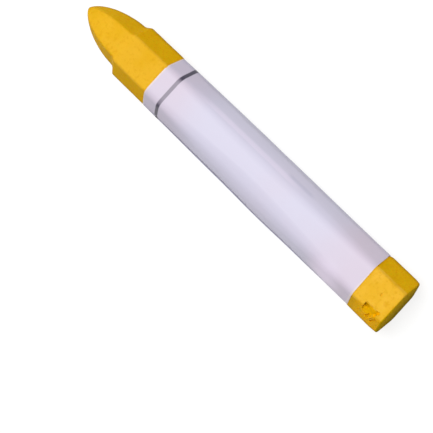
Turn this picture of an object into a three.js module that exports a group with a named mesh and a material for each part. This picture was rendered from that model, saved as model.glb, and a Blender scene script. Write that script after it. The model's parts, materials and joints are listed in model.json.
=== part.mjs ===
// A tyre marking crayon: a cast hexagonal wax stick with a pointed nose, and a paper label
// pasted round it that leaves both ends bare. Millimetres, +Z up.
//
// Each piece is modelled with its axis on X, its tail face at x = 0 and one flat underneath.
// At the end the whole crayon is tipped by the mould draft, so that the label's lower flat
// lies level, and it is set down with the middle of its box over the origin.
import * as THREE from "three";
import { ParametricGeometry } from "three/addons/geometries/ParametricGeometry.js";

// ---- Driving dimensions -------------------------------------------------------------

const LENGTH = 120; // tail face to nose tip
const TAIL_FLATS = 15.5; // across flats at the tail, the open end of the mould
const SHOULDER_FLATS = 14.7; // across flats at the shoulder, narrower by the mould draft
const NOSE_LENGTH = 17.5; // shoulder to nose tip
const CORNER_CUT = 0.5; // rounding of the stick's long corners, measured along the flats
const RIM_CUT = 0.5; // rounding of the tail rim
const RIDGE_SHIFT = 0.45; // one upper ridge stands this far off a regular hexagon, sideways

// The nose cavity of the mould is a separate insert. It is smaller than the barrel, mostly
// at the two side corners, and sits a little off centre.
const NOSE_SIDE = 7.25; // nose centre to its side corners, at the base of the nose
const NOSE_RIDGE = 3.95; // nose centre to its upper and lower corners, sideways
const NOSE_FLAT = 6.95; // nose centre to its upper and lower flats
const NOSE_OFFSET = -0.3; // nose centre from the stick's axis, sideways
const SHOULDER_SLANT = 1.2; // length of the slanted step from the barrel to the nose
const NOSE_BLUNTNESS = 1.45; // 1 would be a sharp ogive, 2 an ellipse
const NOSE_TIP_CUT = 0.42; // share of each facet rounded away at the very tip

// The label is one sheet, wound a full turn and lapped over one lower flat. Distances on
// that flat run from its lower corner.
const LABEL_START = 10.85; // tail face to the label's tail edge
const LABEL_END = 89.75; // tail face to the label's nose edge
const PAPER = 0.1; // thickness of the label
const PASTE = 0.03; // thickness of a dry paste film
const SKIN_GAP = 0.01; // air left on each side of a paste film
const LAP_CLIMB_START = 0.65; // where the sheet lifts off the wax
const LAP_CLIMB_END = 1; // where it lies on its own first layer
const INNER_EDGE = 1.2; // where the first layer begins
const FREE_EDGE = 8.2; // where the flap over it ends
const LEADING_PASTE = { from: 1.6, to: 4.6 }; // under the first layer
const LAP_PASTE = { from: 2.1, to: 7.3 }; // between the first layer and the flap
const PASTE_END_MARGIN = 1.5; // bare paper past the ends of each paste film

const CORNER_SEGMENTS = 3;
const NOSE_STATIONS = 22;

// ---- Values worked out from them ----------------------------------------------------

const CORNERS = 6;
const SHOULDER = LENGTH - NOSE_LENGTH;
const TAIL_APOTHEM = TAIL_FLATS / 2;
const DRAFT = (TAIL_FLATS - SHOULDER_FLATS) / 2 / SHOULDER; // fall of a flat per mm of length
const FILM_SPACE = PASTE + 2 * SKIN_GAP;

/** Size of a section at x, as a share of its size at the tail. */
const taper = (x) => 1 - (DRAFT * x) / TAIL_APOTHEM;

// ---- Materials ----------------------------------------------------------------------

const wax = new THREE.MeshStandardMaterial({ color: 0xf2ba2c, roughness: 0.5, metalness: 0 });
const paper = new THREE.MeshStandardMaterial({ color: 0xe4deee, roughness: 0.6, metalness: 0 });
const paste = new THREE.MeshStandardMaterial({ color: 0xd9cfb0, roughness: 0.7, metalness: 0 });

// ---- Sections, in the Y-Z plane -----------------------------------------------------

/**
 * Six corners, anticlockwise from +Y: two at the sides, two above and two below. The +Y upper
 * one is moved out by shift.
 */
function hexagon(side, ridge, flat, shift) {
  return [
    new THREE.Vector2(side, 0),
    new THREE.Vector2(ridge + shift, flat),
    new THREE.Vector2(-ridge, flat),
    new THREE.Vector2(-side, 0),
    new THREE.Vector2(-ridge, -flat),
    new THREE.Vector2(ridge, -flat),
  ];
}

/** The barrel's hexagon by its apothem: regular, but for the shifted ridge. */
function barrelHexagon(apothem) {
  const side = (2 * apothem) / Math.sqrt(3);
  return hexagon(side, side / 2, apothem, RIDGE_SHIFT);
}

/** The rounded corner k of a hexagon, where cut is how far the rounding runs along each side. */
function roundCorner(corners, k, cut) {
  const at = corners[k % CORNERS];
  const before = corners[(k + CORNERS - 1) % CORNERS];
  const after = corners[(k + 1) % CORNERS];
  const towards = (other) => at.clone().add(other.clone().sub(at).setLength(cut));
  const curve = new THREE.QuadraticBezierCurve(towards(before), at, towards(after));
  return curve.getPoints(CORNER_SEGMENTS);
}

/** The whole rounded outline of a hexagon. */
function roundHexagon(corners, cut) {
  return corners.flatMap((corner, k) => roundCorner(corners, k, cut));
}

// ---- Wax stick ----------------------------------------------------------------------

/** Share of its base size that the nose has at this distance from the tip. */
function noseShare(fromTip) {
  const ogive = 1 - (1 - fromTip / NOSE_LENGTH) ** 2;
  return ogive ** (1 / NOSE_BLUNTNESS);
}

/** The nose's outline at this distance from the tip: its corners soften towards the tip. */
function noseOutline(fromTip) {
  const share = noseShare(fromTip);
  const sizes = [NOSE_SIDE, NOSE_RIDGE, NOSE_FLAT, RIDGE_SHIFT].map((size) => size * share);
  const corners = hexagon(...sizes);
  const facet = 2 * NOSE_RIDGE * share;
  const sharpShare = CORNER_CUT / (2 * NOSE_RIDGE);
  const cut = facet * THREE.MathUtils.lerp(NOSE_TIP_CUT, sharpShare, Math.sqrt(share));
  const centre = new THREE.Vector2(NOSE_OFFSET, 0);
  return roundHexagon(corners, cut).map((point) => point.add(centre));
}

/** The barrel's outline at x, drawn in by inset. */
function barrelOutline(x, inset) {
  return roundHexagon(barrelHexagon(TAIL_APOTHEM * taper(x) - inset), CORNER_CUT);
}

/** One casting: the drafted barrel with a rounded tail rim, the shoulder and the nose. */
function waxStick() {
  const around = CORNERS * (CORNER_SEGMENTS + 1);
  const at = (x, outline) => outline.map((point) => new THREE.Vector3(x, point.x, point.y));
  const tailCentre = at(0, Array(around).fill(new THREE.Vector2()));
  const tip = at(LENGTH, Array(around).fill(new THREE.Vector2(NOSE_OFFSET, 0)));
  const rim = [0, 30, 60, 90].map((degrees) => {
    const angle = THREE.MathUtils.degToRad(degrees);
    const x = RIM_CUT * (1 - Math.cos(angle));
    return at(x, barrelOutline(x, RIM_CUT * (1 - Math.sin(angle))));
  });
  const nose = Array.from({ length: NOSE_STATIONS }, (_, i) => {
    const fromTip = (NOSE_LENGTH - SHOULDER_SLANT) * (1 - i / NOSE_STATIONS) ** 1.6;
    return at(LENGTH - fromTip, noseOutline(fromTip));
  });
  const rows = [tailCentre, ...rim, at(SHOULDER, barrelOutline(SHOULDER, 0)), ...nose, tip];
  const along = rows.length - 1;
  const surface = (u, v, target) => {
    target.copy(rows[Math.round(v * along)][Math.round(u * around) % around]);
  };
  const geometry = new ParametricGeometry(surface, around, along);
  geometry.computeVertexNormals();
  return new THREE.Mesh(geometry, wax);
}

// ---- Paper label and its paste ------------------------------------------------------

/** A section drawn at the tail's size, extruded from one x to another with the draft. */
function draftedExtrusion(outline, from, to) {
  const geometry = new THREE.ExtrudeGeometry(new THREE.Shape(outline), {
    depth: to - from,
    bevelEnabled: false,
  });
  const lengthways = new THREE.Matrix4().makeBasis(
    new THREE.Vector3(0, 1, 0),
    new THREE.Vector3(0, 0, 1),
    new THREE.Vector3(1, 0, 0),
  );
  geometry.applyMatrix4(lengthways).translate(from, 0, 0);
  const position = geometry.getAttribute("position");
  for (let i = 0; i < position.count; i += 1) {
    const size = taper(position.getX(i));
    position.setY(i, position.getY(i) * size);
    position.setZ(i, position.getZ(i) * size);
  }
  geometry.computeVertexNormals();
  return geometry;
}

// The label starts on the flat after LAP_CORNER, runs anticlockwise over the other five
// flats, climbs over its own first layer and ends short of the next corner.
const LAP_CORNER = 5;

/** A point on the lapped flat: along it from LAP_CORNER, and this far off the wax. */
function onLappedFlat(along, offset) {
  const [from, to] = [LAP_CORNER, LAP_CORNER + 1].map(
    (k) => barrelHexagon(TAIL_APOTHEM)[k % CORNERS],
  );
  const direction = to.clone().sub(from).normalize();
  const outward = new THREE.Vector2(direction.y, -direction.x);
  return from.clone().addScaledVector(direction, along).addScaledVector(outward, offset);
}

/** One face of the wound sheet, from its inner edge to its free edge. */
function sheetFace(offset) {
  const corners = barrelHexagon(TAIL_APOTHEM + offset);
  const cut = CORNER_CUT + offset / Math.sqrt(3);
  const lapOffset = offset + PAPER + FILM_SPACE;
  const turn = Array.from({ length: CORNERS }, (_, i) => LAP_CORNER + 1 + i);
  return [
    onLappedFlat(INNER_EDGE, offset),
    ...turn.flatMap((k) => roundCorner(corners, k, cut)),
    onLappedFlat(LAP_CLIMB_START, offset),
    onLappedFlat(LAP_CLIMB_END, lapOffset),
    onLappedFlat(FREE_EDGE, lapOffset),
  ];
}

/** The label: out along its outer face and back along its inner one. */
function paperLabel() {
  const outline = [...sheetFace(FILM_SPACE + PAPER), ...sheetFace(FILM_SPACE).reverse()];
  return new THREE.Mesh(draftedExtrusion(outline, LABEL_START, LABEL_END), paper);
}

/** A dry paste film on the lapped flat, this far off the wax. */
function pasteFilm({ from, to }, offset) {
  const outline = [
    onLappedFlat(from, offset),
    onLappedFlat(from, offset + PASTE),
    onLappedFlat(to, offset + PASTE),
    onLappedFlat(to, offset),
  ];
  const ends = [LABEL_START + PASTE_END_MARGIN, LABEL_END - PASTE_END_MARGIN];
  return new THREE.Mesh(draftedExtrusion(outline, ...ends), paste);
}

// ---- Assembly -----------------------------------------------------------------------

const crayon = new THREE.Group();
const pieces = {
  wax_stick: waxStick(),
  paper_label: paperLabel(),
  leading_edge_paste: pasteFilm(LEADING_PASTE, SKIN_GAP),
  lap_paste: pasteFilm(LAP_PASTE, FILM_SPACE + PAPER + SKIN_GAP),
};
for (const [name, mesh] of Object.entries(pieces)) {
  mesh.name = name;
  crayon.add(mesh);
}

// Tipping by the fall of the label's own lower flat brings it level. The middle of the box's
// underside then goes to the origin.
crayon.rotation.y = Math.atan(DRAFT * (1 + (FILM_SPACE + PAPER) / TAIL_APOTHEM));
const box = new THREE.Box3().setFromObject(crayon, true);
const centre = box.getCenter(new THREE.Vector3());
crayon.position.set(-centre.x, -centre.y, -box.min.z);

const root = new THREE.Group();
root.add(crayon);

export default root;
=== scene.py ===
# A tyre marking crayon: a cast hexagonal stick of yellow marking wax with a pointed nose, and
# a paper label pasted round it that leaves both ends bare. Lengths are in metres.
import json
import math

import bmesh
import bpy
from mathutils import Matrix, Vector


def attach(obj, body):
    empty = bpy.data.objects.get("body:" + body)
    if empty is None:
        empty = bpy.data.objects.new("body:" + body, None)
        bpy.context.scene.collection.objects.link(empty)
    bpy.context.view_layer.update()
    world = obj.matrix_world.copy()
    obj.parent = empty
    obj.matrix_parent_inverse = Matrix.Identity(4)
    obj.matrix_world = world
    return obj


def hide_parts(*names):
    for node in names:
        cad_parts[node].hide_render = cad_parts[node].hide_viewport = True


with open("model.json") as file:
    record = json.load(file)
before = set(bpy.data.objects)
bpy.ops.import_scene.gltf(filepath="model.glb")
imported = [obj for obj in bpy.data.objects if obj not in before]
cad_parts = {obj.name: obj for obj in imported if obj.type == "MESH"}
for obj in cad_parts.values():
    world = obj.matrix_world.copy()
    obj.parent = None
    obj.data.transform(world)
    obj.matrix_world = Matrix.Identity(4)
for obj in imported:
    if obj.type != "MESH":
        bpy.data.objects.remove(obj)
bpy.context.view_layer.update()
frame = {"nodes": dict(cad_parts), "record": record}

# ---- Wax stick ------------------------------------------------------------------------------
# One casting of pigmented wax. It leaves an open mould tail last, so it tapers towards the
# nose. The nose cavity is a smaller insert, which leaves the shoulder.
MM = 0.001
tail_mount = next(m for m in frame["record"]["mounts"] if m["name"] == "tail_face")
tail_centre = Vector(tail_mount["pos_m"])
stick_line = -Vector(tail_mount["axis"])
stick_tilt = math.asin(-stick_line.z)


def reach(node):
    """Where a CAD node starts and ends along the stick, from the tail face."""
    points = [point.co - tail_centre for point in frame["nodes"][node].data.vertices]
    return min(point @ stick_line for point in points), max(point @ stick_line for point in points)


stick_length = reach("wax_stick")[1]
label_start, label_end = reach("paper_label")
NOSE_LENGTH = 17.5 * MM
TAIL_APOTHEM = 7.75 * MM
SHOULDER_APOTHEM = 7.35 * MM
shoulder = stick_length - NOSE_LENGTH
draft = (TAIL_APOTHEM - SHOULDER_APOTHEM) / shoulder
RIDGE_SHIFT = 0.45 * MM  # how far one upper ridge stands out sideways
SIDE_SWELL = 0.12 * MM  # how far each side corner stands out
CORNER_STEPS = 6
FLAT_STEPS = 9


def bare(x):
    """Distance from the stick's line to a flat of the bare barrel."""
    return TAIL_APOTHEM - draft * x


def hexagon(side, ridge, flat):
    """Six corners across the stick, from +Y round over the top."""
    sides = [(side, 0), (ridge, flat), (-ridge, flat), (-side, 0), (-ridge, -flat), (ridge, -flat)]
    return [Vector(corner) for corner in sides]


def barrel_corners(apothem):
    """A hexagon by its apothem. One upper ridge stands wide, and the sides swell a little."""
    side = apothem * 2 / math.sqrt(3)
    corners = hexagon(side + SIDE_SWELL, side / 2, apothem)
    corners[1].x += RIDGE_SHIFT
    return corners


def corner_arc(corners, k, cut):
    """Points round corner k, where the rounding reaches cut along each side."""
    at = corners[k % 6]
    start = at + (corners[(k - 1) % 6] - at).normalized() * cut
    end = at + (corners[(k + 1) % 6] - at).normalized() * cut
    shares = [step / CORNER_STEPS for step in range(CORNER_STEPS + 1)]
    return [start * (1 - t) ** 2 + at * 2 * t * (1 - t) + end * t**2 for t in shares]


def outline(corners, cut):
    """A closed rounded outline, with its flats divided."""
    points = []
    for k in range(6):
        arc = corner_arc(corners, k, cut)
        following = corner_arc(corners, k + 1, cut)[0]
        points += arc
        points += [arc[-1].lerp(following, step / FLAT_STEPS) for step in range(1, FLAT_STEPS)]
    return points


def add_ring(x, points, skew=0.0, lean=0.0):
    """Adds one outline across the stick to the mesh in edit mode, square to it or askew."""
    bpy.ops.mesh.select_all(action="DESELECT")
    bpy.ops.mesh.primitive_circle_add(vertices=len(points), radius=1)
    mesh = bmesh.from_edit_mesh(bpy.context.object.data)
    ring = [point for point in mesh.verts if point.select]
    for place, point in zip(points, ring):
        point.co = (x + skew * place.x + lean * place.y, place.x, place.y)
    bmesh.update_edit_mesh(bpy.context.object.data)


def select_in(kind, test):
    """Selects only the points, edges or faces that pass a test, in edit mode."""
    bpy.ops.mesh.select_all(action="DESELECT")
    bpy.ops.mesh.select_mode(type={"verts": "VERT", "edges": "EDGE", "faces": "FACE"}[kind])
    mesh = bmesh.from_edit_mesh(bpy.context.object.data)
    for element in getattr(mesh, kind):
        if test(element):
            element.select_set(True)
    mesh.select_flush_mode()
    bmesh.update_edit_mesh(bpy.context.object.data)


def select_only(piece):
    """Makes one object the only selected one, and the active one."""
    bpy.ops.object.select_all(action="DESELECT")
    piece.select_set(True)
    bpy.context.view_layer.objects.active = piece


def finish_modifier(piece, kind, **settings):
    """Adds one modifier to a piece and applies it."""
    select_only(piece)
    bpy.ops.object.modifier_add(type=kind)
    modifier = piece.modifiers[-1]
    for name, value in settings.items():
        setattr(modifier, name, value)
    bpy.ops.object.modifier_apply(modifier=modifier.name)


def roughen(piece, name, size, height):
    """Moves the surface in and out by soft random waves of this size and height."""
    waves = bpy.data.textures.new(name, "CLOUDS")
    waves.noise_scale = size
    waves.noise_depth = 1
    finish_modifier(piece, "DISPLACE", texture=waves, strength=height, mid_level=0.5)


def combine(piece, operation):
    """Cuts the active object out of a piece or joins it on, and removes it."""
    tool = bpy.context.object
    finish_modifier(piece, "BOOLEAN", operation=operation, object=tool, solver="EXACT")
    select_only(tool)
    bpy.ops.object.delete()


def lay_down(piece):
    """Lays a piece that was made along X on the crayon's own line."""
    select_only(piece)
    piece.rotation_euler = (0, stick_tilt, 0)
    piece.location = tail_centre
    bpy.ops.object.transform_apply(location=True, rotation=True, scale=True)


# The nose is a hexagonal ogive, flatter above and below than a regular hexagon.
NOSE_SIDE = 7.25 * MM
NOSE_RIDGE = 3.95 * MM
NOSE_RIDGE_PINCH = 0.5 * MM
NOSE_FLAT = 6.95 * MM
NOSE_OFFSET = -0.3 * MM
NOSE_BLUNTNESS = 1.49
NOSE_RINGS = 30
NOSE_CROWDING = 1.7  # over 1, the rings stand closer towards the tip
TIP_SOFTNESS = 0.42  # share of each facet that a corner's rounding takes
BASE_SOFTNESS = 0.09


def nose_outline(from_tip):
    """The nose's outline this far from its tip. Its corners soften towards the tip."""
    share = (1 - (1 - from_tip / NOSE_LENGTH) ** 2) ** (1 / NOSE_BLUNTNESS)
    corners = hexagon(NOSE_SIDE * share, NOSE_RIDGE * share, NOSE_FLAT * share)
    corners[1].x += RIDGE_SHIFT * share
    corners[2].x += NOSE_RIDGE_PINCH * share
    softness = TIP_SOFTNESS + (BASE_SOFTNESS - TIP_SOFTNESS) * share**0.5
    points = outline(corners, 2 * NOSE_RIDGE * share * softness)
    return [point + Vector((NOSE_OFFSET, 0)) for point in points]


# The rim of the tail is rubbed round, most of all at its corners. Under the label the ridges
# are pressed in, so the paper lies flush with the bare wax.
RIM = 0.45 * MM
RIDGE_CUT = 0.6 * MM
RIM_RIDGE_CUT = 1.5 * MM
RUBBED_LENGTH = 2.5 * MM
PRESSED_CUT = 2.0 * MM  # near the label's ends, and this much more half-way
PRESSED_MORE = 1.4 * MM
PRESS_LEAD = 0.4 * MM  # the pressing starts this far before the label
PRESS_RUN = 0.8 * MM  # and is full after this length


def middle_share(x):
    """0 at the label's ends and beyond, and 1 half-way."""
    return max(0.0, math.sin(math.pi * (x - label_start) / (label_end - label_start)))


def ridge_cut(x):
    """How far the rounding of a ridge reaches along each flat."""
    under = min(x - label_start + PRESS_LEAD, label_end - x) / PRESS_RUN
    pressed = min(1.0, max(0.0, under))
    wear_and_sheen = max(0.0, 1 - x / RUBBED_LENGTH) ** 2
    pressed_cut = PRESSED_CUT - RIDGE_CUT + PRESSED_MORE * middle_share(x) ** 2
    return RIDGE_CUT + pressed_cut * pressed + (RIM_RIDGE_CUT - RIDGE_CUT) * wear_and_sheen


def barrel_outline(x, inset=0.0):
    """The barrel's outline at x, drawn in by inset."""
    return outline(barrel_corners(bare(x) - inset), ridge_cut(x))


def spaced(start, end, gap):
    """Places from start up to end, about this gap apart."""
    steps = math.ceil((end - start) / gap)
    return [start + (end - start) * step / steps for step in range(steps)]


# The stick starts as an empty mesh and gets its outlines ring by ring: the rim, the barrel
# with close rings near the label's ends, the ledge at the shoulder, and the nose.
TAIL_LEAN = 0.016  # slope of the tail face, lengthways over height
TAIL_SKEW = -0.03  # the same, lengthways over width
LEDGE_SKEW = -0.03
LEDGE_RINGS = ((0.4 * MM, 0.0), (0.1 * MM, 0.06 * MM))  # before the shoulder, and inset
LEDGE_END = 1.07 * MM
LEDGE_FADE = 4  # the nose's rings lose the ledge's skew over this many
NEAR_LABEL_END = 1.5 * MM
CLOSE_GAP = 0.6 * MM
WIDE_GAP = 6 * MM
BEFORE_LEDGE = 0.9 * MM
barrel_runs = (
    (RIM, label_start + NEAR_LABEL_END, CLOSE_GAP),
    (label_start + NEAR_LABEL_END, label_end - NEAR_LABEL_END, WIDE_GAP),
    (label_end - NEAR_LABEL_END, shoulder - BEFORE_LEDGE, CLOSE_GAP),
)
bpy.ops.object.select_all(action="DESELECT")
bpy.ops.mesh.primitive_circle_add(vertices=3, radius=1)
stick = bpy.context.object
stick.name = "wax_stick_casting"
bpy.ops.object.mode_set(mode="EDIT")
bpy.ops.mesh.delete(type="VERT")
for degrees in range(0, 90, 15):
    turn = math.radians(degrees)
    along = RIM * (1 - math.cos(turn))
    rim_outline = barrel_outline(along, RIM * (1 - math.sin(turn)))
    add_ring(along - TAIL_LEAN * TAIL_APOTHEM, rim_outline, TAIL_SKEW, TAIL_LEAN)
for run in barrel_runs:
    for along in spaced(*run):
        add_ring(along, barrel_outline(along))
for before, inset in LEDGE_RINGS:
    along = shoulder - before
    add_ring(along, barrel_outline(along, inset), LEDGE_SKEW / 2)
for ring in range(NOSE_RINGS):
    from_tip = (NOSE_LENGTH - LEDGE_END) * (1 - ring / NOSE_RINGS) ** NOSE_CROWDING
    skew = LEDGE_SKEW * max(0, 1 - ring / LEDGE_FADE)
    add_ring(stick_length - from_tip, nose_outline(from_tip), skew)
bpy.ops.mesh.select_all(action="SELECT")
bpy.ops.mesh.bridge_edge_loops(type="SINGLE")

# Each end is closed: the tail ring by ring, the tip at once.
TAIL_RINGS = 9
tail_middle = (-TAIL_LEAN * TAIL_APOTHEM, 0, 0)
select_in("edges", lambda edge: edge.is_boundary and edge.verts[0].co.x < RIM)
for ring in range(TAIL_RINGS, 1, -1):
    shrink = (ring - 1) / ring
    bpy.ops.mesh.extrude_edges_move()
    bpy.ops.transform.resize(value=(shrink, shrink, shrink), center_override=tail_middle)
bpy.ops.mesh.extrude_edges_move()
bpy.ops.mesh.merge(type="CENTER")
select_in("edges", lambda edge: edge.is_boundary)
bpy.ops.mesh.extrude_edges_move()
bpy.ops.mesh.merge(type="CENTER")
bpy.ops.mesh.select_all(action="SELECT")
bpy.ops.mesh.normals_make_consistent(inside=False)
bpy.ops.object.mode_set(mode="OBJECT")
finish_modifier(stick, "SUBSURF", levels=1, render_levels=1)


def add_chisel(middle, size, lean, turn=0.0, narrow=1.0, roll=0.0):
    """Adds a block that leans out from the stick, to cut or join. Its lower end is narrower."""
    facing = Matrix.Rotation(lean - math.pi / 2, 3, "X") @ Matrix.Rotation(turn, 3, "Z")
    facing = facing @ Matrix.Rotation(roll, 3, "Y")
    bpy.ops.object.select_all(action="DESELECT")
    bpy.ops.mesh.primitive_cube_add(size=1, location=middle)
    chisel = bpy.context.object
    bpy.ops.object.mode_set(mode="EDIT")
    select_in("verts", lambda point: point.co.y > 0)
    bpy.ops.transform.resize(value=(narrow, 1, 1), center_override=middle)
    bpy.ops.mesh.select_all(action="SELECT")
    bpy.ops.mesh.subdivide(number_cuts=CHISEL_CUTS)
    bpy.ops.object.mode_set(mode="OBJECT")
    chisel.scale = size
    chisel.rotation_euler = facing.to_euler()
    select_only(chisel)
    bpy.ops.object.transform_apply(location=True, rotation=True, scale=True)


# A flake has broken off the wide ridge near the tail. Beside it two nicks run down the side
# flat, with a burr raised between them. One pit is small and in the top flat, and the other
# two break the flake's ends.
CHISEL_CUTS = 14
FLAKE_LEAN = math.radians(46)
FLAKE_TURN = -0.15
FLAKE_NARROW = 0.5
flake_floor = Vector((4.6, 5.15, 6.15)) * MM
flake_size = Vector((5.2, 6.4, 3.0)) * MM
flake_out = Vector((0, math.cos(FLAKE_LEAN), math.sin(FLAKE_LEAN)))
flake_middle = flake_floor + flake_out * flake_size.z / 2
add_chisel(flake_middle, flake_size, FLAKE_LEAN, FLAKE_TURN, FLAKE_NARROW)
roughen(bpy.context.object, "flake_lumps", size=1.3 * MM, height=0.35 * MM)
combine(stick, "DIFFERENCE")

NICK_LEAN = math.radians(28)
NICK_TURN = -0.32
burr_middle = Vector((3.2, 6.12, 4.7)) * MM
burr_size = Vector((0.9, 4.6, 0.9)) * MM
add_chisel(burr_middle, burr_size, NICK_LEAN, NICK_TURN, roll=math.radians(45))
combine(stick, "UNION")
nick_size = Vector((0.5, 4.4, 0.8)) * MM
for nick_middle in ((4.2, 6.3, 5.2), (2.3, 6.7, 4.5)):
    add_chisel(Vector(nick_middle) * MM, nick_size, NICK_LEAN, NICK_TURN)
    combine(stick, "DIFFERENCE")

pits = (((4.75, -0.2, 7.98), 0.45), ((6.0, 4.6, 6.9), 0.95), ((2.2, 3.95, 7.5), 0.6))
for middle, radius in pits:
    bpy.ops.object.select_all(action="DESELECT")
    pit_place = Vector(middle) * MM
    bpy.ops.mesh.primitive_ico_sphere_add(subdivisions=3, radius=radius * MM, location=pit_place)
    roughen(bpy.context.object, "pit_lumps", size=0.6 * MM, height=0.5 * MM)
    combine(stick, "DIFFERENCE")

# The whole casting is a little wavy, and dented here and there.
roughen(stick, "slow_casting_waves", size=9 * MM, height=0.10 * MM)
roughen(stick, "small_casting_dents", size=1.6 * MM, height=0.05 * MM)
select_only(stick)
bpy.ops.object.shade_smooth_by_angle(angle=math.radians(35))
lay_down(stick)


class Wire:
    """An output of a shader node. Sums written with wires add the Math nodes that work them."""

    def __init__(self, tree, socket=None):
        self.tree = tree
        self.socket = socket

    def node(self, kind, settings=None, inputs=None, output=0):
        """Adds a node: its settings first, then the values or wires of its inputs."""
        made = self.tree.nodes.new(kind)
        for name, value in (settings or {}).items():
            setattr(made, name, value)
        for name, value in (inputs or {}).items():
            if isinstance(value, Wire):
                self.tree.links.new(value.socket, made.inputs[name])
            else:
                made.inputs[name].default_value = value
        return Wire(self.tree, made.outputs[output])

    def maths(self, operation, *terms, clamp=False):
        """A Math node on these terms."""
        settings = {"operation": operation, "use_clamp": clamp}
        return self.node("ShaderNodeMath", settings, dict(enumerate(terms)))

    def __add__(self, other):
        return self.maths("ADD", self, other)

    def __sub__(self, other):
        return self.maths("SUBTRACT", self, other)

    def __rsub__(self, other):
        return self.maths("SUBTRACT", other, self)

    def __mul__(self, other):
        return self.maths("MULTIPLY", self, other)

    __radd__ = __add__
    __rmul__ = __mul__

    def band(self, low, high):
        """0 below low and 1 above high, with a smooth climb between. Falls if high < low."""
        names = ("Value", "From Min", "From Max")
        settings = {"interpolation_type": "SMOOTHSTEP"}
        return self.node("ShaderNodeMapRange", settings, dict(zip(names, (self, low, high))))

    def blend(self, first, second):
        """Colour that goes from the first to the second as this wire goes from 0 to 1."""
        settings = {"data_type": "RGBA"}
        return self.node("ShaderNodeMix", settings, {0: self, 6: first, 7: second}, output=2)


def new_finish(name, constants):
    """A Principled material with its constant values set. Gives a wire to start from."""
    material = bpy.data.materials.new(name)
    material.use_nodes = True
    shader = material.node_tree.nodes["Principled BSDF"]
    for socket, value in constants.items():
        shader.inputs[socket].default_value = value
    return material, shader, Wire(material.node_tree)


def along_stick(start):
    """Wires for the Object coordinates turned onto the stick's line: the vector, then x, y, z."""
    coordinates = start.node("ShaderNodeTexCoord", output=3)
    mapping = {"Vector": coordinates, "Location": tail_centre, "Rotation": (0, stick_tilt, 0)}
    turned = start.node("ShaderNodeMapping", {"vector_type": "TEXTURE"}, mapping)
    parts = [start.node("ShaderNodeSeparateXYZ", None, {"Vector": turned}, k) for k in range(3)]
    return turned, *parts


def noise(start, place, size, detail=2.0):
    """A noise pattern whose grain has this size, as a wire from 0 to 1."""
    inputs = {"Vector": place, "Scale": 1 / size, "Detail": detail}
    return start.node("ShaderNodeTexNoise", None, inputs)


def relief(start, height, strength):
    """Fine bumps up to a tenth of a millimetre high, as a wire for a shader's Normal."""
    inputs = {"Strength": strength, "Distance": 0.1 * MM, "Height": height}
    return start.node("ShaderNodeBump", None, inputs)


def lead_in(shader, wires):
    """Leads wires to a shader's sockets, by the sockets' names."""
    for name, wire in wires.items():
        wire.tree.links.new(wire.socket, shader.inputs[name])


# Colours of sound wax, of its grit and breaks, and of the painted sheen and painted shade on it.
WAX = (0.635, 0.342, 0.0005, 1)
WAX_DEEP = (0.56, 0.262, 0.0005, 1)
WAX_PALE = (0.66, 0.37, 0.002, 1)
WAX_SHEEN = (0.71, 0.395, 0.027, 1)
WAX_SHEEN_TAIL = (0.77, 0.445, 0.046, 1)
WAX_FRESH = (0.72, 0.365, 0.0005, 1)
WAX_HOLLOW_SHADE = (0.37, 0.19, 0.0005, 1)
WAX_SCRAPED = (0.78, 0.39, 0.0005, 1)
WAX_CORNER_SHADE = (0.36, 0.19, 0.002, 1)
WAX_RUST = (0.60, 0.235, 0.0005, 1)
WAX_TAIL_SHADE = (0.50, 0.30, 0.0003, 1)
WAX_TAIL_SHADOW = (0.27, 0.175, 0.0003, 1)
WAX_OLIVE = (0.55, 0.36, 0.001, 1)
wax_finish, wax_shader, start = new_finish(
    "marking_wax",
    {
        "IOR": 1.1,
        "Specular IOR Level": 0.2,
        "Subsurface Weight": 0.08,
        "Subsurface Radius": (1.0, 0.45, 0.08),
        "Subsurface Scale": 1.0 * MM,
    },
)
place, x, y, z = along_stick(start)
cloudiness = noise(start, place, 5 * MM)
mottle = noise(start, place, 0.9 * MM, 3.0)
grain = noise(start, place, 0.55 * MM)
colour = cloudiness.band(0.35, 0.75).blend(WAX, WAX_PALE)

# The top flat, and the nose where it faces up, carry a painted sheen: lighter, bluer colour where
# the overhead light falls. It is palest near the tail end.
NOSE_DROP = 5.5 * MM
along_nose = start.maths("MAXIMUM", (x - shoulder) * (1 / NOSE_LENGTH), 0.0)
level_with_top = z + along_nose * along_nose * NOSE_DROP
painted_sheen = level_with_top.band(6.3 * MM, 7.0 * MM) * (0.75 - along_nose * 0.25)
painted_sheen = painted_sheen * (0.6 + cloudiness.band(0.3, 0.6) * 0.4)
sheen_colour = x.band(15 * MM, 9 * MM).blend(WAX_SHEEN, WAX_SHEEN_TAIL)
colour = painted_sheen.blend(colour, sheen_colour)

# The side flat round the flake is scraped bright. Specks of deeper wax lie all over, and rust
# and olive grit mostly on the sides. The side corners are darkened with painted shade.
scraped = y.band(4.6 * MM, 5.4 * MM) * z.band(-1.0 * MM, 1.0 * MM) * x.band(10 * MM, 7.5 * MM)
colour = scraped.blend(colour, WAX_SCRAPED)
colour = (mottle.band(0.5, 0.72) * 0.4).blend(colour, WAX_DEEP)
gritty = 0.08 + 0.72 * level_with_top.band(7.2 * MM, 6.2 * MM)
colour = (grain.band(0.55, 0.72) * gritty).blend(colour, WAX_RUST)
colour = (grain.band(0.45, 0.32) * gritty).blend(colour, WAX_OLIVE)
off_side = start.maths("ABSOLUTE", z)
painted_shade = off_side.band(1.5 * MM, 0.2 * MM) * (0.45 + cloudiness * 0.5)
colour = painted_shade.blend(colour, WAX_CORNER_SHADE)
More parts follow.
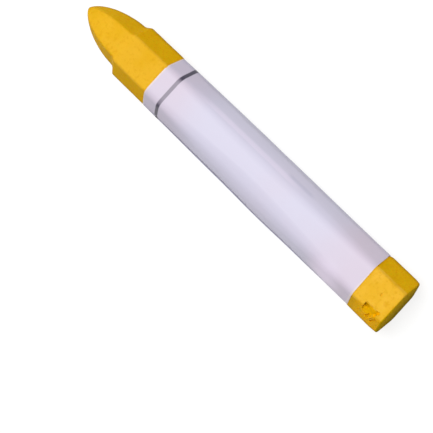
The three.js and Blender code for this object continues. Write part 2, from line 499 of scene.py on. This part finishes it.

# Below the top flat and the side flat the wax is broken and fresh, with painted shade where the
# break is deep.
side_corner, wide_ridge = barrel_corners(TAIL_APOTHEM)[:2]
flat_out = Vector((wide_ridge.y, side_corner.x - wide_ridge.x)).normalized()
under_side_flat = side_corner.dot(flat_out) - (y * flat_out.x + z * flat_out.y)
depth = start.maths("MINIMUM", TAIL_APOTHEM - z, under_side_flat)
broken = depth.band(0.2 * MM, 0.35 * MM) * y.band(-1.5 * MM, -1.0 * MM)
broken = broken * z.band(1.0 * MM, 2.0 * MM) * x.band(label_start - 1 * MM, label_start - 2 * MM)
colour = broken.blend(colour, WAX_FRESH)
# painted shade in the deepest part of the break
colour = (broken * depth.band(0.75 * MM, 1.05 * MM) * 0.7).blend(colour, WAX_HOLLOW_SHADE)

# A painted shadow of the label's edge darkens the wax right beside it. The poured tail face is
# matt and rougher, and is painted dark olive as shade, darker still towards its bottom as painted
# shadow.
label_edge_shadow = x.band(label_start - 0.5 * MM, label_start - 0.1 * MM)
label_edge_shadow = label_edge_shadow * x.band(label_end + 0.6 * MM, label_end + 0.1 * MM)
colour = (label_edge_shadow * 0.4).blend(colour, WAX_DEEP)
poured_face = x.band(0.4 * MM, 0.1 * MM)
# the tail face's colour is painted shade, with painted shadow towards its bottom
tail_face_shade = z.band(-6.5 * MM, 6.5 * MM).blend(WAX_TAIL_SHADOW, WAX_TAIL_SHADE)
colour = poured_face.blend(colour, tail_face_shade)
matt = mottle * 0.15 + poured_face * 0.5 + 0.45
bumps = noise(start, place, 0.35 * MM, 4.0) * 0.6 + noise(start, place, 1.4 * MM) * 0.4
bumpy = relief(start, bumps * (1 + poured_face * 2), 0.35)
lead_in(wax_shader, {"Base Color": colour, "Roughness": matt, "Normal": bumpy})
stick.data.materials.clear()
stick.data.materials.append(wax_finish)
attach(stick, "root")
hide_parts("wax_stick")

# ---- Paper label ----------------------------------------------------------------------------
# One sheet of coated paper, wound once round the stick and lapped over a lower flat. It lies
# tight on the ridges at both ends and is a little slack over the flats between them.
PAPER = 0.1 * MM
AIR = 0.05 * MM

# The lap, by distances along the lapped flat from its lower corner.
INNER_EDGE = 1.2 * MM
LAP_CLIMB = 0.65 * MM
LAP_LANDED = 1.0 * MM
FREE_EDGE = 8.2 * MM
LAP_LIFT = PAPER + AIR

# How far each fold reaches along the flats beside it: at the label's ends, and half-way.
END_FOLD = 1.5 * MM
MIDDLE_FOLD = 3.2 * MM
MIDDLE_SIDE_FOLD = 3.4 * MM
MIDDLE_RIDGE_FOLD = 2.1 * MM

# The slack, half-way along the label, and the place where it gathers at one side corner.
SWELL = 0.16 * MM
WIDENING = 0.010
TIGHT_CROWN = 0.02 * MM
SLACK_CROWN = 0.22 * MM
crown_shares = [1.0, 1.0, 1.4, 1.0, 0.0, 0.25]
PLUS_Y_SLACK = 0.06 * MM
MINUS_Y_SLACK = 0.36 * MM
MINUS_Y_GROWTH = 80 * MM  # it doubles over this length towards the nose
GATHER = 0.28 * MM
GATHER_PLACE = 46 * MM
GATHER_WIDTH = 9 * MM

# The tail edge is cut askew, the nose edge bows, and slow waves run through the sheet.
LABEL_ROWS = 160
START_SKEW = 0.040
EDGE_BOW = 0.13 * MM
WAVE_SIZE = 13 * MM
WAVE_HEIGHT = 0.14 * MM
label_middle = (label_start + label_end) / 2


def flat_run(corners, k, start, end, steps, lift, crown):
    """Points along flat k between two distances from its first corner, standing off by lift."""
    first, last = corners[k % 6], corners[(k + 1) % 6]
    length = (last - first).length
    direction = (last - first) / length
    outward = Vector((direction.y, -direction.x))
    points = []
    for step in range(steps):
        along = start + (end - start) * step / (steps - 1)
        bow = crown * crown_shares[k % 6] * 4 * (along / length) * (1 - along / length)
        points.append(first + direction * along + outward * (lift + bow))
    return points


def slack_corners(x):
    """Corners of the label's inner face at x. The sheet stands off where it is slack."""
    share = middle_share(x)
    gathered = math.exp(-(((x - GATHER_PLACE) / GATHER_WIDTH) ** 2))
    corners = barrel_corners(bare(x) + AIR + SWELL * share)
    corners[0].x += PLUS_Y_SLACK * share + GATHER * gathered - SIDE_SWELL
    corners[3].x -= MINUS_Y_SLACK * share * (1 + (x - label_middle) / MINUS_Y_GROWTH)
    return corners


def crown_height(x):
    """How far the middle of a flat stands off at x."""
    return SLACK_CROWN * middle_share(x) ** 0.8 + TIGHT_CROWN


def settled(course, x):
    """A course at x widened by the slack, and kept level under the stick."""
    widened = 1 + WIDENING * middle_share(x)
    floor_level = -bare(x) - AIR
    return [Vector((point.x * widened, max(point.y, floor_level))) for point in course]


def label_course(x):
    """The sheet's course across the stick at x, from its first edge to its free edge."""
    share = middle_share(x)
    corners = slack_corners(x)
    fold = END_FOLD + (MIDDLE_FOLD - END_FOLD) * share**2
    side_fold = END_FOLD + (MIDDLE_SIDE_FOLD - END_FOLD) * share
    ridge_fold = END_FOLD + (MIDDLE_RIDGE_FOLD - END_FOLD) * share
    folds = [side_fold, fold, ridge_fold, side_fold, fold, fold]
    crown = crown_height(x)
    flat = [(corners[(k + 1) % 6] - corners[k]).length for k in range(6)]
    course = flat_run(corners, 5, INNER_EDGE, flat[5] - side_fold, FLAT_STEPS, 0, crown)
    for k in range(5):
        flat_end = flat[k] - folds[k + 1]
        course += corner_arc(corners, k, folds[k])[1:-1]
        course += flat_run(corners, k, folds[k], flat_end, FLAT_STEPS + 1, 0, crown)
    course += corner_arc(corners, 5, LAP_CLIMB)[1:]
    course += flat_run(corners, 5, LAP_LANDED, FREE_EDGE, FLAT_STEPS + 1, LAP_LIFT, crown)
    return settled(course, x)


def wound_sheet(name, course, start, end, rows, thickness):
    """A sheet whose course across the stick is a function of x, from one x to another."""
    courses = [course(start + (end - start) * row / rows) for row in range(rows + 1)]
    columns = len(courses[0])
    bpy.ops.object.select_all(action="DESELECT")
    bpy.ops.mesh.primitive_grid_add(x_subdivisions=rows, y_subdivisions=columns - 1, size=1)
    sheet = bpy.context.object
    sheet.name = name
    for point in sheet.data.vertices:
        share = point.co.x + 0.5
        across = courses[round(share * rows)][round((point.co.y + 0.5) * (columns - 1))]
        skewed = START_SKEW * across.x * (1 - share) ** 2
        bowed = EDGE_BOW * max(0.0, 1 - (across.x / TAIL_APOTHEM) ** 2) * share**8
        point.co = (start + (end - start) * share - skewed + bowed, across.x, across.y)
    bpy.ops.object.mode_set(mode="EDIT")
    bpy.ops.mesh.select_all(action="SELECT")
    bpy.ops.mesh.normals_make_consistent(inside=False)
    bpy.ops.object.mode_set(mode="OBJECT")
    roughen(sheet, name + "_waves", size=WAVE_SIZE, height=WAVE_HEIGHT)
    for point in sheet.data.vertices:
        point.co.z = max(point.co.z, -bare(point.co.x) - AIR)
    finish_modifier(sheet, "SOLIDIFY", thickness=thickness, offset=1.0)
    bpy.ops.object.shade_smooth_by_angle(angle=math.radians(40))
    lay_down(sheet)
    return sheet


label_ends = (label_start, label_end)
label = wound_sheet("paper_label_sheet", label_course, *label_ends, LABEL_ROWS, PAPER)

PAPER_PINK = (0.565, 0.495, 0.59, 1)
PAPER_BLUE = (0.552, 0.530, 0.645, 1)
PAPER_BARE = (0.66, 0.58, 0.56, 1)
PAPER_SHADE = (0.36, 0.36, 0.48, 1)
PAPER_HIGHLIGHT = (0.74, 0.65, 0.79, 1)
INK = (0.055, 0.048, 0.075, 1)
LINE_BACK = 5.25 * MM
LINE_WIDTH = 1.1 * MM
LINE_BLUR = 0.12 * MM
LINE_WANDER = 0.25 * MM
CREASE_PLACE = 40.5 * MM
CREASE_SIDE = -6.1 * MM
BULGE_HIGHLIGHT_PLACE = Vector((20, 7.2, 3.8)) * MM
paper_finish, paper_shader, start = new_finish("label_paper", {"Specular IOR Level": 0.2})
place, x, y, z = along_stick(start)
clouds = noise(start, place, 14 * MM)

# The paper is bluish half-way along and pinkish towards its ends. Its cut edges are bare.
off_middle = start.maths("ABSOLUTE", x - label_middle)
tint = start.maths("ADD", off_middle.band(18 * MM, 36 * MM), (clouds - 0.5) * 0.8, clamp=True)
colour = tint.blend(PAPER_BLUE, PAPER_PINK)
from_edge = start.maths("MINIMUM", x - label_start, label_end - x)
colour = (from_edge.band(0.45 * MM, 0.2 * MM) * 0.8).blend(colour, PAPER_BARE)

# A painted highlight lightens it where it bulges on the +Y flat, and a painted streak of sheen
# runs beside one upper ridge.
distance = {"operation": "DISTANCE"}
off_highlight = start.node("ShaderNodeVectorMath", distance, {0: place, 1: BULGE_HIGHLIGHT_PLACE}, output=1)
upper_side = z.band(0.0, 1 * MM)
ridge_sheen = y.band(-6.1 * MM, -5.5 * MM) * y.band(-4.5 * MM, -4.9 * MM) * upper_side
ridge_sheen = ridge_sheen * x.band(38 * MM, 46 * MM) * x.band(82 * MM, 70 * MM) * 0.3
painted_highlight = start.maths("MAXIMUM", off_highlight.band(7.5 * MM, 1.0 * MM) * 0.95, ridge_sheen)
colour = painted_highlight.blend(colour, PAPER_HIGHLIGHT)

# Painted shade darkens its side corners and its sides by the nose, and a painted shadow lies in
# one short crease.
off_side = start.maths("ABSOLUTE", z)
painted_shade = off_side.band(2.6 * MM, 0.2 * MM) * (0.2 + clouds * 0.3)
by_the_nose = z.band(7.2 * MM, 6.2 * MM) * x.band(68 * MM, 80 * MM)
painted_shade = start.maths("ADD", painted_shade, by_the_nose * 0.22, clamp=True)
along_crease = start.maths("ABSOLUTE", x - CREASE_PLACE).band(5.5 * MM, 3 * MM)
crease_shadow = start.maths("ABSOLUTE", y - CREASE_SIDE).band(0.7 * MM, 0.1 * MM) * along_crease
painted_shade = start.maths("MAXIMUM", painted_shade, crease_shadow * upper_side * 0.3)
colour = painted_shade.blend(colour, PAPER_SHADE)

# The printed line wanders a little, and is painted lighter on the top flat: a painted sheen on the
# ink.
wander = (noise(start, place, 6 * MM) - 0.5) * LINE_WANDER
off_line = start.maths("ABSOLUTE", x + wander - (label_end - LINE_BACK))
inked = off_line.band(LINE_WIDTH / 2 + LINE_BLUR, LINE_WIDTH / 2 - LINE_BLUR)
wear_and_sheen = z.band(TAIL_APOTHEM - 0.9 * MM, TAIL_APOTHEM - 0.2 * MM)
colour = (inked * (0.98 - wear_and_sheen * 0.33)).blend(colour, INK)
fibres = noise(start, place, 0.25 * MM, 4.0) * 0.5 + noise(start, place, 2.5 * MM) * 0.5
fibrous = relief(start, fibres, 0.12)
lead_in(paper_shader, {"Base Color": colour, "Roughness": inked * -0.1 + 0.45, "Normal": fibrous})
label.data.materials.append(paper_finish)
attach(label, "root")
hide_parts("paper_label")

# ---- Paste films ----------------------------------------------------------------------------
# Two thin films of dried starch paste on the lapped flat: one holds the sheet's first edge to
# the wax, and the other holds the flap to the sheet's own first layer.
PASTE = 0.03 * MM
PASTE_AIR = 0.01 * MM
PASTE_MARGIN = 1.5 * MM  # bare paper past the ends of each film
PASTE_ROWS = 40
PASTE_STEPS = 12
PASTE_PALE = (0.72, 0.66, 0.50, 1)
PASTE_DARK = (0.60, 0.53, 0.38, 1)


def film_course(start, end, lift):
    """A function of x: the course of a film between two distances along the lapped flat."""

    def course(x):
        corners = slack_corners(x)
        film = flat_run(corners, 5, start, end, PASTE_STEPS, lift, crown_height(x))
        return settled(film, x)

    return course


paste_finish, paste_shader, start = new_finish("dry_paste", {"Specular IOR Level": 0.3})
place = along_stick(start)[0]
lumps = noise(start, place, 0.7 * MM, 3.0)
paste_colour = lumps.blend(PASTE_PALE, PASTE_DARK)
lead_in(paste_shader, {"Base Color": paste_colour, "Roughness": lumps * 0.2 + 0.6})
film_ends = (label_start + PASTE_MARGIN, label_end - PASTE_MARGIN)
paste_films = {
    "leading_edge_paste": film_course(1.6 * MM, 4.6 * MM, -PASTE - PASTE_AIR),
    "lap_paste": film_course(2.1 * MM, 6.0 * MM, PAPER + PASTE_AIR),
}
for node, course in paste_films.items():
    film = wound_sheet(node + "_film", course, *film_ends, PASTE_ROWS, PASTE)
    film.data.materials.append(paste_finish)
    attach(film, "root")
    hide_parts(node)

# ---- Floor, light and camera ----------------------------------------------------------------
# A white table lit a little from beneath, and one large soft light that leans towards the nose.
TABLE_SIZE = 4
table_finish = new_finish(
    "pale_table",
    {
        "Base Color": (0.2, 0.2, 0.2, 1),
        "Specular IOR Level": 0.0,
        "Roughness": 1.0,
        "Emission Color": (1, 1, 1, 1),
        "Emission Strength": 0.8,
    },
)[0]
bpy.ops.object.select_all(action="DESELECT")
bpy.ops.mesh.primitive_plane_add(size=TABLE_SIZE, location=(0, 0, 0))
table = bpy.context.object
table.name = "floor"
table.data.materials.append(table_finish)

LAMP_AWAY = 5.0
LAMP_SIZE = 3.4
LAMP_WATTS = 362
LAMP_LEAN_TO_NOSE = math.radians(10)
LAMP_LEAN_TO_SIDE = math.radians(-2.4)
lamp_leans = (math.tan(LAMP_LEAN_TO_NOSE), math.tan(LAMP_LEAN_TO_SIDE), 1)
towards_lamp = Vector(lamp_leans).normalized()
lamp_turn = towards_lamp.to_track_quat("Z", "Y").to_euler()
bpy.ops.object.light_add(type="AREA", location=towards_lamp * LAMP_AWAY, rotation=lamp_turn)
lamp = bpy.context.object
lamp.name = "soft_light"
lamp.data.shape = "SQUARE"
lamp.data.size = LAMP_SIZE
lamp.data.energy = LAMP_WATTS
room = bpy.data.worlds.new("soft_room")
bpy.context.scene.world = room
room.use_nodes = True
room_light = room.node_tree.nodes["Background"]
room_light.inputs["Color"].default_value = (1, 1, 1, 1)
room_light.inputs["Strength"].default_value = 0.03

# The camera looks down on the crayon from over its tail, turned so that the crayon lies
# corner to corner.
CAMERA_AWAY = 0.4739
CAMERA_ROUND = math.radians(304.03)
CAMERA_UP = math.radians(76.63)
CAMERA_TURN = math.radians(-80.33)
CAMERA_LENS = 144.68
SENSOR_WIDTH = 36
LOOK_AT = Vector((-7.194, 16.386, 8.612)) * MM
sideways = math.cos(CAMERA_UP)
back_x = math.sin(CAMERA_ROUND) * sideways
back_y = -math.cos(CAMERA_ROUND) * sideways
back = Vector((back_x, back_y, math.sin(CAMERA_UP)))
level = Vector((0, 0, 1)).cross(back).normalized()
upward = back.cross(level)
right = math.cos(CAMERA_TURN) * level + math.sin(CAMERA_TURN) * upward
top = -math.sin(CAMERA_TURN) * level + math.cos(CAMERA_TURN) * upward
facing = Matrix((right, top, back)).transposed()
bpy.ops.object.camera_add(location=LOOK_AT + back * CAMERA_AWAY, rotation=facing.to_euler())
camera = bpy.context.object
camera.data.lens = CAMERA_LENS
camera.data.sensor_width = SENSOR_WIDTH
bpy.context.scene.camera = camera
bpy.context.scene.view_settings.view_transform = "Standard"
